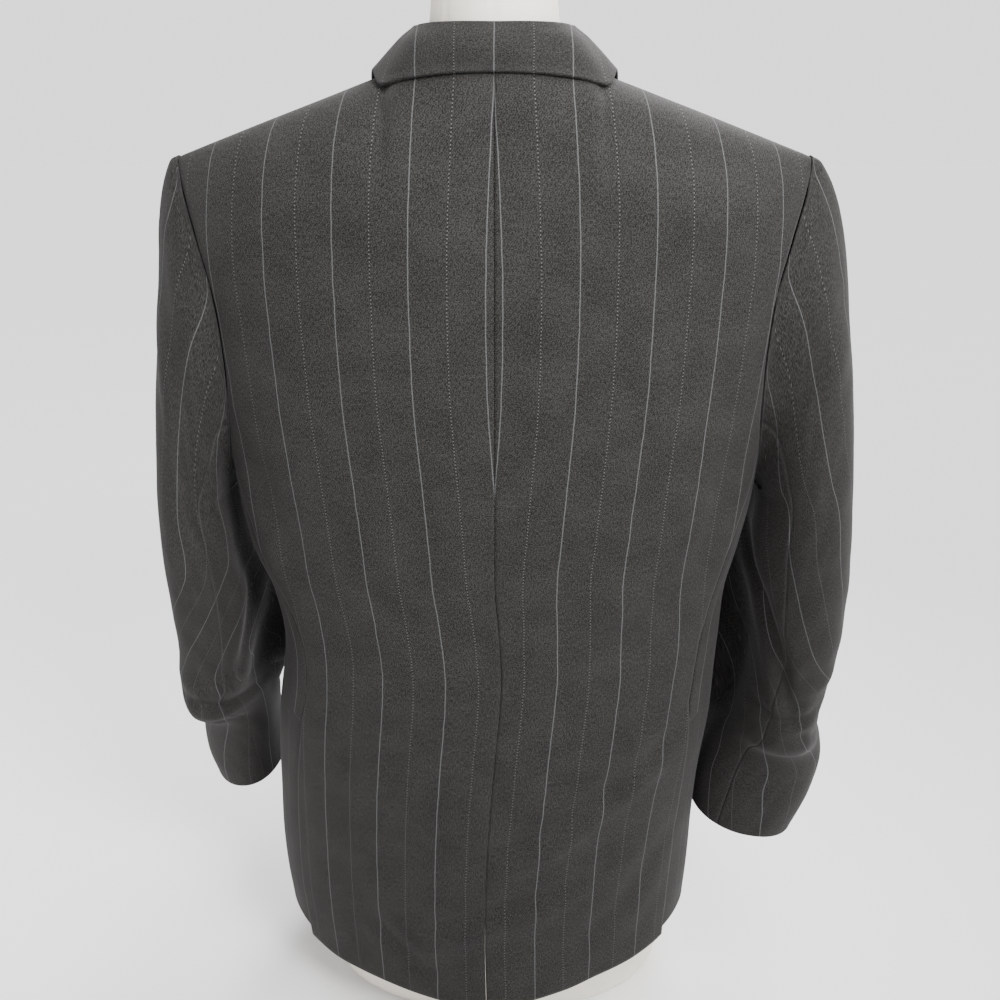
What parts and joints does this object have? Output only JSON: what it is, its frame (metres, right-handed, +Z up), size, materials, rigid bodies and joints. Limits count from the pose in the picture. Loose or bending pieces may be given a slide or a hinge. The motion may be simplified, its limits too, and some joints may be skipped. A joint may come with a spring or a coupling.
{
  "type": "double breasted blazer on a limbless dress form",
  "caption": "Tailored double breasted jacket with peak lapels, flap pockets and side vents, worn by a limbless dress form that stands on its flat base.",
  "frame": {"origin": "on the floor under the middle of the whole box", "axes": "+Z up, the wearer faces -Y, the wearer's left is +X"},
  "size_m": [0.6076, 0.301, 0.892],
  "materials": {
    "cloth": "soft worsted wool, charcoal heather with alternating fine pinstripes",
    "button": "dark horn-like, softly polished",
    "form_cover": "smooth cream cotton cover"
  },
  "bodies": {
    "root": {"back_left": "cloth", "back_right": "cloth", "side_left": "cloth", "side_right": "cloth", "front_left": "cloth", "front_right": "cloth", "lapel_left": "cloth", "lapel_right": "cloth", "flap_left": "cloth", "flap_right": "cloth", "chest_welt": "cloth", "collar_stand": "cloth", "collar_fall": "cloth", "top_sleeve_left": "cloth", "under_sleeve_left": "cloth", "top_sleeve_right": "cloth", "under_sleeve_right": "cloth", "button_low_left": "button", "button_low_right": "button", "button_middle_left": "button", "button_middle_right": "button", "button_high_left": "button", "button_high_right": "button", "form_torso": "form_cover", "form_neck_cap": "form_cover"}
  },
  "joints": []
}
